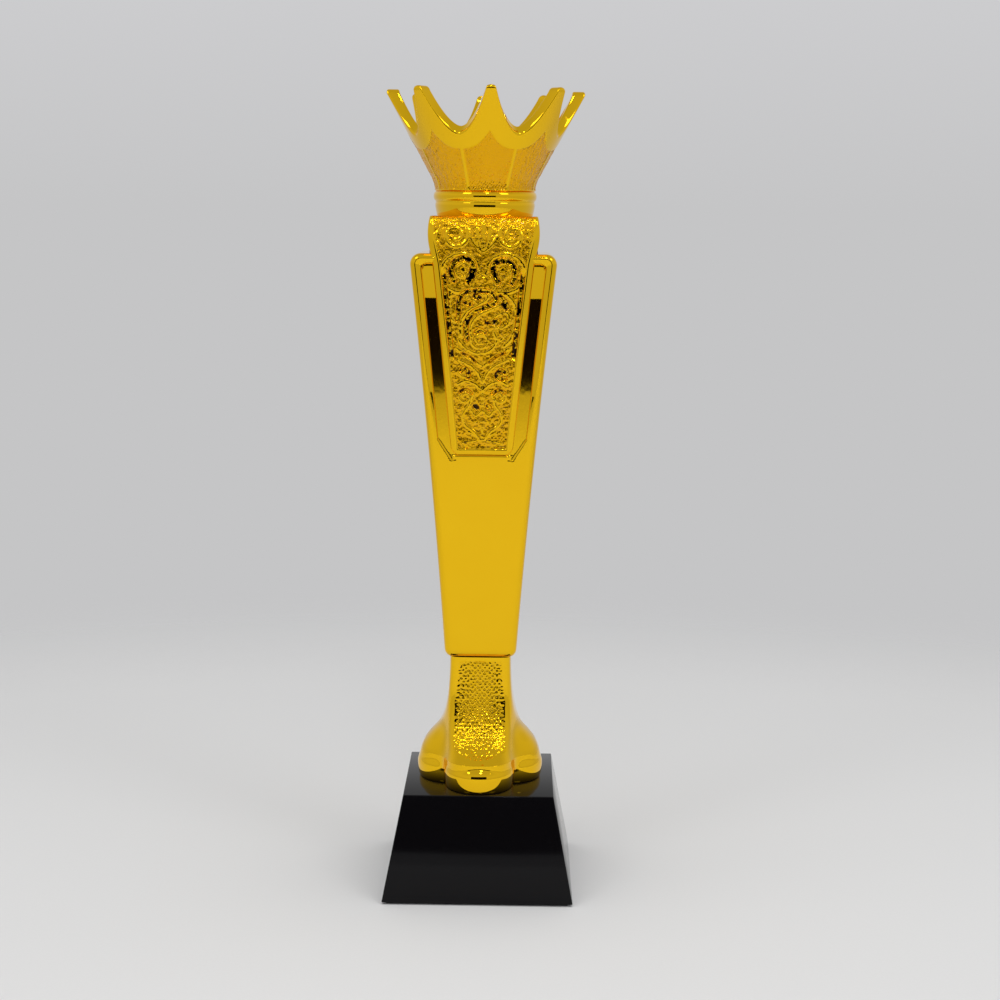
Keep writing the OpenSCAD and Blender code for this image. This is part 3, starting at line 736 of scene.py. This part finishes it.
def scrollwork(x, z, inset):
    """Depth of the cast ornament below the bead, and its grain."""
    cut = smooth_step(1.0 - np.abs(inset - 0.9), 0, 0.3)
    cut = cut * smooth_step(z, 226, 229) * smooth_step(264, z, z + 3)
    for line, width in grooves:
        reach = width * groove_spread
        near, off, _ = nearest_on(line, x, z, reach)
        cut[near] = np.maximum(cut[near], smooth_step(reach - off, 0, 0.3))
    ridge = np.zeros(x.shape)
    for line, start_w, end_w, tall in strokes:
        near, off, along = nearest_on(line, x, z, max(start_w, end_w) * stroke_spread)
        width = stroke_spread * (start_w + (end_w - start_w) * along)
        crest = tall * np.sqrt(1 - np.clip(off / width, 0, 1) ** 2)
        ridge[near] = np.maximum(ridge[near], crest * (1 - cut[near]))
    # Between the strokes lie leaves, lumpy at two sizes, which the grooves cut through
    leaf = 0.5 + 0.13 * lumps(x, z, 0.8) + 0.13 * lumps(x + 50, z, 1.5)
    leaf = leaf + (field_deep + 0.1 - leaf) * cut
    stroke = field_deep + 0.1 - 1.12 * ridge + 0.06 * lumps(x + 90, z, 0.9)
    depth = np.minimum(leaf, stroke)
    return np.clip(depth, 0.02, 1.4), np.where(stroke < leaf, 0.3, 0.8 - 1.8 * cut)


panel_columns, panel_rows = 132, 270


def panel_place(u, v, behind):
    """The panel's back, or its face: a bead all round and the scrollwork inside it."""
    z = tongue_foot + (head_top - tongue_foot) * v
    half = panel_half(z)
    foot_round = rounded(z - tongue_foot, panel_foot_r)
    side = (u - 0.5) * 2
    x = np.sign(side) * np.abs(side) ** 0.93 * (half - foot_round)
    gap = np.minimum(half - foot_round - np.abs(x), z - tongue_foot + 0.0012 * x ** 2)
    if behind:
        return x, panel_thick - panel_y(z), z, np.zeros(x.shape)
    bead = bead_w * (1 - 0.45 * smooth_step(z, swell, head_top))
    field = smooth_step(gap, bead - 0.3, bead + 0.3)
    slope = 0.42 * np.clip(bead - 0.9 - gap, 0, None)
    drop = rounded(gap, 0.9) * 0.7 + slope + rounded(np.clip(bead - gap, 0, None), 0.8) * 0.6
    depth, grain = scrollwork(x, z, gap - bead)
    return (x, drop * (1 - field) + depth * field - panel_y(z), z,
            np.where(field > 0.5, grain, 0))


bm = shaped_grid(panel_columns, panel_rows, lambda u, v: panel_place(u, v, False))
back = shaped_grid(panel_columns, panel_rows, lambda u, v: panel_place(u, v, True))
back_mesh = bpy.data.meshes.new("panel_back")
back.to_mesh(back_mesh)
back.free()
bm.from_mesh(back_mesh)
bpy.data.meshes.remove(back_mesh)
bmesh.ops.bridge_loops(bm, edges=[e for e in bm.edges if len(e.link_faces) == 1])
bmesh.ops.recalc_face_normals(bm, faces=bm.faces[:])
for name, turn in (("front", 0), ("rear", math.pi)):
    one_panel = bm.copy()
    bmesh.ops.rotate(one_panel, verts=one_panel.verts[:], cent=(0, 0, 0),
                     matrix=Matrix.Rotation(turn, 3, "Z"))
    panel = add_piece("scrollwork_panel_" + name, one_panel, plated_gold, sharp=65)
    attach(panel, "root")
    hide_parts(name + "_panel")
bm.free()

# ---- Column head ----------------------------------------------------------------------
# Plated block between the rolled ends of the panels. Its sides are fluted like the side
# of a rolled scroll. The square spigot below that keys it into the column is not built here.
flutes = 5
flute_deep = 0.9
head_clear = 0.25


def head_place(u, v):
    """Walk round the block as u turns, and from its foot to its top as v rises."""
    z = shell_top + (head_top - shell_top) * v
    width = head_half(np.maximum(z, swell)) - head_clear
    deep = panel_y(z) - panel_thick
    turn = u * 4
    side, share = np.floor(turn) % 4, turn % 1
    along = share * 2 - 1
    x = np.choose(side.astype(int), (width, -width * along, -width, width * along))
    y = np.choose(side.astype(int), (deep * along, deep, -deep * along, -deep))
    dish = np.abs(np.sin(along * math.pi * flutes / 2)) * smooth_step(1 - np.abs(along), 0, 0.1)
    dish = dish * smooth_step(v * (1 - v), 0.03, 0.1) * (side % 2 == 0)
    return x - np.sign(x) * flute_deep * dish, y, z, np.zeros(x.shape)


head_columns, head_rows = 160, 40
bm = shaped_grid(head_columns, head_rows, head_place)
bmesh.ops.remove_doubles(bm, verts=bm.verts[:], dist=same_point)
for level in (shell_top, head_top):
    rim = [e for e in bm.edges if len(e.link_faces) == 1 and abs(e.verts[0].co.z - level * mm)
           < 1e-6 and abs(e.verts[1].co.z - level * mm) < 1e-6]
    hole = pull_border(bm, rim, lambda co: on_circle(co, rod_bore_r, level * mm))
    if level == shell_top:
        shaft_ring = hole
    else:
        bmesh.ops.bridge_loops(bm, edges=shaft_ring + hole)
bmesh.ops.recalc_face_normals(bm, faces=bm.faces[:])
head = add_piece("fluted_head", bm, plated_gold, sharp=45)
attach(head, "root")
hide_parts("column_head")

# ---- Crown collar ---------------------------------------------------------------------
# Ring turned in one profile: a waisted band, a groove and a round bead, plated with the
# rest. A spigot on top centres the crown.
collar_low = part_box("crown_collar")[0].z / mm
collar_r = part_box("crown_collar")[1].x / mm
bead_out, bead_half, bead_mid, bead_steps = 1.2, 2.05, 8, 10
# Radius and height above the collar's foot: up the outside, and back down the bore
collar_line = [(15.2, 0), (19.7, 0), (19.95, 0.3), (20.3, 1.8), (20.6, 3.3), (20.68, 3.9),
               (20.68, 4.9), (20.55, 5.3), (20.45, 5.6), (20.6, 5.95)]
for i in range(bead_steps + 1):
    bend = math.radians(-70 + 140 * i / bead_steps)
    collar_line.append((collar_r - bead_out + bead_out * math.cos(bend),
                        bead_mid + bead_half * math.sin(bend)))
collar_line += [(14, 9.95), (14, 11.5), (rod_bore, 11.5), (rod_bore, 4.2), (15.2, 4.2)]
collar_steps = 160

bm = bmesh.new()
line = [bm.verts.new((r * mm, 0, (collar_low + z) * mm)) for r, z in collar_line]
edges = [bm.edges.new(pair) for pair in zip(line, line[1:] + line[:1])]
bmesh.ops.spin(bm, geom=line + edges, cent=(0, 0, 0), axis=(0, 0, 1), angle=2 * math.pi,
               steps=collar_steps, use_merge=True, use_duplicate=False)
bmesh.ops.recalc_face_normals(bm, faces=bm.faces[:])
collar = add_piece("turned_collar", bm, plated_gold, sharp=50)
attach(collar, "root")
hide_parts("crown_collar")

# ---- Crown ----------------------------------------------------------------------------
# Open plated cup with eight pointed scallops, each point rounded off at its tip. A polished
# band follows the scallops; below it thin ribs part the stippled panels.
crown_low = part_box("crown")[0].z / mm
crown_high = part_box("crown")[1].z / mm
points_count = 8
ball_r = 1.7
point_turn = math.radians(-90 + 3.9)
half_step = math.pi / points_count
crown_foot_r, crown_reach = 21.0, 40.8
crown_wall, tip_extra = 3.2, 2.1
bend_share = 0.14
valley = crown_high - 18.7
scallop_high, scallop_half = 18.0, 14.94
bevel = math.radians(55)


def crown_outer(z):
    """Outer radius of the crown at height z: a short curve and then a straight flare."""
    share = (z - crown_low) / (crown_high - ball_r - crown_low)
    slope = 1 / (1 - bend_share / 2)
    grow = np.where(share < bend_share, share ** 2 * slope / (2 * bend_share),
                    1 - (1 - share) * slope)
    return np.minimum(crown_foot_r + (crown_reach - crown_foot_r) * grow, crown_reach)


def crown_inner(z):
    """Radius of the inner wall, which leaves the crown thicker towards its points."""
    share = np.clip((z - crown_low) / (crown_high - ball_r - crown_low), bend_share, 1)
    return crown_outer(z) - crown_wall - tip_extra * (share - bend_share) / (1 - bend_share)


def rim_level(apart, wall):
    """Height at which a scallop, sloping up to the inside, cuts one wall of the crown."""
    low, high = np.full(apart.shape, crown_low + 8.0), np.full(apart.shape, crown_high + 8.0)
    valley_r = crown_outer(np.array(valley))
    # Halve the span that holds the cut until it is finer than the mesh needs
    for _ in range(22):
        z = (low + high) / 2
        out = wall(z) * np.cos(apart) - valley_r
        rise = out * math.sin(bevel) + (z - valley) * math.cos(bevel)
        above = rise > scallop_high * (wall(z) * np.sin(apart) / scallop_half) ** 1.7
        low, high = np.where(above, low, z), np.where(above, z, high)
    beside = crown_reach * np.sin(half_step - apart) / 2.6
    tip = crown_high - 0.02 - ball_r * (1 - np.sqrt(np.clip(1 - beside ** 2, 0, 1)))
    return np.minimum(z, tip)


def bunched(share):
    """Bunch the columns towards the points, where the rim is steepest."""
    return 1 - (1 - share) ** 1.35


def corner_between(start, corner, end, share):
    """A point on the round between two lines that meet at a corner, as (radius, z)."""
    return [(1 - share) ** 2 * a + 2 * share * (1 - share) * b + share ** 2 * c
            for a, b, c in zip(start, corner, end)]


crown_columns = 544
wall_rows, rim_rows, inner_rows = 78, 18, 24
rim_soft = 1.0
stipple_r = 27
# Floor of the bowl, bore and recess for the collar: radius, and height above the crown's foot
cup_rows = [(16, 3), (rod_bore, 3), (rod_bore, 1.7), (14.2, 1.7), (14.2, 0)]
crown_rows = wall_rows + rim_rows + inner_rows + len(cup_rows) + 1


def crown_shape(u, v):
    """Walk up the outer wall, over the rim, down the inner wall and across the floor."""
    step = u * points_count * 2
    pair = np.minimum(np.floor(step), points_count * 2 - 1)
    share = step - pair
    rising = pair % 2 == 0
    apart = half_step * np.where(rising, bunched(share), bunched(1 - share))
    angle = point_turn + half_step * np.where(rising, pair + 1 + bunched(share),
                                              pair + 2 - bunched(1 - share))
    row = np.round(v * crown_rows)
    top, inner_top = rim_level(apart, crown_outer), rim_level(apart, crown_inner)
    outer_edge, inner_edge = (crown_outer(top), top), (crown_inner(inner_top), inner_top)
    across_r, across_z = inner_edge[0] - outer_edge[0], inner_edge[1] - outer_edge[1]
    width = np.hypot(across_r, across_z)
    below = (crown_outer(top - rim_soft), top - rim_soft)
    begins = (outer_edge[0] + across_r * rim_soft / width, top + across_z * rim_soft / width)
    ends = (inner_edge[0] - across_r * rim_soft / width, inner_top - across_z * rim_soft / width)
    inside = (crown_inner(inner_top - rim_soft), inner_top - rim_soft)
    z = crown_low + (below[1] - crown_low) * np.clip(row / wall_rows, 0, 1)
    outer = crown_outer(z)
    # Below the polished band and between the ribs the wall is sunk a little and stippled
    band_low = crown_low + 16.8 + 7.0 * (apart / half_step) ** 2.8
    sunk = (smooth_step(band_low - z, 0, 0.4) * smooth_step(outer * np.sin(apart), 0.45, 0.8)
            * smooth_step(z, crown_low + 0.4, crown_low + 0.9))
    around = angle * stipple_r
    sector = np.round((angle - point_turn) / (2 * half_step)) % points_count
    hatch = 0.11 * np.sin((around - z) * 2 * math.pi / 1.5)
    stipple = 0.17 * lumps(around, z, 0.8) + 0.12 * lumps(around + 40, z, 1.7)
    texture = np.where(sector % 4 == 0, hatch + 0.5 * stipple, stipple)
    radius = outer - rounded(z - crown_low, 0.5) + sunk * (texture - 0.35)
    grain = np.where(row <= wall_rows, sunk, 0)
    # The rim is flat between two rounded edges
    share = (row - wall_rows) / rim_rows
    for low, high, path in ((0, 1 / 3, lambda s: corner_between(below, outer_edge, begins, s)),
                            (1 / 3, 2 / 3, lambda s: corner_between(
                                begins, [(a + b) / 2 for a, b in zip(begins, ends)], ends, s)),
                            (2 / 3, 1, lambda s: corner_between(ends, inner_edge, inside, s))):
        here = (share > low) & (share <= high)
        point = path(np.clip((share - low) * 3, 0, 1))
        radius, z = np.where(here, point[0], radius), np.where(here, point[1], z)
    down = (row - wall_rows - rim_rows) / inner_rows
    here = (down > 0) & (down <= 1)
    level = inside[1] + (crown_low + 5 - inside[1]) * np.clip(down, 0, 1)
    radius, z = np.where(here, crown_inner(level), radius), np.where(here, level, z)
    for i, (r, level) in enumerate(cup_rows):
        here = row == wall_rows + rim_rows + inner_rows + 1 + i
        radius, z = np.where(here, r, radius), np.where(here, crown_low + level, z)
    last = row == crown_rows
    radius = np.where(last, crown_outer(np.full(z.shape, crown_low)) - 0.5, radius)
    z = np.where(last, crown_low, z)
    return radius * np.cos(angle), radius * np.sin(angle), z, grain


bm = shaped_grid(crown_columns, crown_rows, crown_shape)
weld(bm)
crown = add_piece("pointed_crown", bm, plated_gold, sharp=60)
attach(crown, "root")
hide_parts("crown")

# ---- Crown nut ------------------------------------------------------------------------
# Domed brass nut, plated gold, run down on the end of the rod in the bottom of the cup.
# Plating over machined brass is a little softer in gloss than over a moulding.
plated_nut = new_material("gold_plated_brass_nut")
place = add_node(plated_nut, "TexCoord").outputs["Object"]
wear = add_node(plated_nut, "TexNoise", {"Vector": place, "Scale": 700.0, "Detail": 3.0})
nut_tone = add_node(plated_nut, "MixRGB", {"Fac": wear.outputs[0], "Color1": linear("#E0A91E"),
                                           "Color2": linear("#EFBC36")})
turning = add_node(plated_nut, "Bump", {"Height": wear.outputs[0], "Distance": 0.02 * mm})
nut_shader = add_node(plated_nut, "BsdfPrincipled", {
    "Base Color": nut_tone.outputs[0], "Metallic": 1.0, "Roughness": 0.22,
    "Normal": turning.outputs[0]})
add_node(plated_nut, "OutputMaterial", {"Surface": nut_shader.outputs[0]})
finish_cad_node("crown_nut", plated_nut)

# ---- Studio ---------------------------------------------------------------------------
# The trophy stands on a sheet of white paper that fades into a pale grey room, under soft
# lights. A black card in front, unseen by the camera, gives the polish its dark streaks.
bm = bmesh.new()
bmesh.ops.create_circle(bm, cap_ends=True, radius=2.6, segments=96)
paper = new_material("white_background_paper")
place = add_node(paper, "TexCoord").outputs["Object"]
centred = add_node(paper, "Mapping", {"Vector": place, "Location": (0, 0.36, 0)})
reach = add_node(paper, "VectorMath", {0: centred.outputs[0]}, operation="LENGTH")
fade = add_node(paper, "MapRange", {"Value": reach.outputs["Value"], "From Min": 0.68,
                                    "From Max": 0.98, "To Min": 0.0, "To Max": 1.0},
                interpolation_type="SMOOTHSTEP")
pulp = add_node(paper, "TexNoise", {"Vector": place, "Scale": 900.0, "Detail": 3.0})
paper_tone = add_node(paper, "MixRGB", {"Fac": pulp.outputs[0], "Color1": linear("#DEDEDE"),
                                        "Color2": linear("#E2E2E2")})
matt = add_node(paper, "BsdfDiffuse", {"Color": paper_tone.outputs[0]})
clear = add_node(paper, "BsdfTransparent")
sheet = add_node(paper, "MixShader", {0: fade.outputs[0], 1: matt.outputs[0],
                                      2: clear.outputs[0]})
add_node(paper, "OutputMaterial", {"Surface": sheet.outputs[0]})
studio_floor = add_piece("studio_floor", bm, paper)

bm = bmesh.new()
bmesh.ops.create_grid(bm, x_segments=1, y_segments=1, size=0.5)
card_wide, card_low, card_tall, card_ahead = 0.9, 0.065, 0.355, 0.98
for corner in bm.verts:
    across, up = corner.co.x, corner.co.y + 0.5
    corner.co = (across * card_wide, -card_ahead, card_low + up * card_tall)
card_black = new_material("black_card")
card_shader = add_node(card_black, "BsdfDiffuse", {"Color": linear("#140E0A")})
add_node(card_black, "OutputMaterial", {"Surface": card_shader.outputs[0]})
card = add_piece("black_card", bm, card_black)
card.visible_camera = False
card.visible_diffuse = False
card.visible_shadow = False
card.visible_transmission = False

room = bpy.data.worlds.new("pale_room")
bpy.context.scene.world = room
room.use_nodes = True
room.node_tree.nodes.clear()
toward = add_node(room, "TexCoord").outputs["Generated"]
height = add_node(room, "SeparateXYZ", {0: toward})
glow = add_node(room, "ValToRGB", {0: height.outputs["Z"]})
levels = [(0.0, "#C5C5C6"), (0.12, "#CDCDCF"), (0.3, "#D0D0D1"), (0.75, "#BCBCBC")]
stops = glow.color_ramp.elements
while len(stops) < len(levels):
    stops.new(0.5)
for stop, (at, code) in zip(stops, levels):
    stop.position = at
    stop.color = linear(code)
light_room = add_node(room, "Background", {"Color": glow.outputs[0], "Strength": 1.0})
add_node(room, "OutputWorld", {"Surface": light_room.outputs[0]})

# The softbox lights the paper but is screened from the polish, which mirrors only the lamps
for name, spot, aim, size, power, mirrored in (
        ("overhead_softbox", (0.05, -0.5, 1.3), (0, -0.3, 0), 1.4, 8.4, False),
        ("left_lamp", (-0.7, -0.7, 1.05), (0, 0, 0.2), 0.34, 1.1, True),
        ("right_lamp", (0.75, -0.65, 1.0), (0, 0, 0.2), 0.34, 1.1, True),
        ("front_lamp", (0.12, -1.0, 1.25), (0, 0, 0.2), 0.14, 1.1, True)):
    lamp = bpy.data.lights.new(name, "AREA")
    lamp.size = size
    lamp.energy = power
    fitting = bpy.data.objects.new(name, lamp)
    fitting.location = spot
    fitting.visible_glossy = mirrored
    fitting.rotation_euler = (Vector(aim) - Vector(spot)).to_track_quat("-Z", "Y").to_euler()
    bpy.context.scene.collection.objects.link(fitting)

bpy.context.scene.view_settings.view_transform = "Standard"

# A long lens a little above the top of the trophy, looking slightly down
camera = bpy.data.objects.new("camera", bpy.data.cameras.new("camera"))
camera.data.sensor_width = 36
camera.data.lens = 66.48
camera.data.clip_start = 0.01
heading, pitch, roll = math.radians(0.52), math.radians(90 - 8.96), math.radians(0.61)
stand = Matrix.Translation((0.0075, -0.776, 0.288))
camera.matrix_world = (Matrix.Rotation(heading, 4, "Z") @ stand
                       @ Matrix.Rotation(pitch, 4, "X") @ Matrix.Rotation(roll, 4, "Z"))
bpy.context.scene.collection.objects.link(camera)
bpy.context.scene.camera = camera
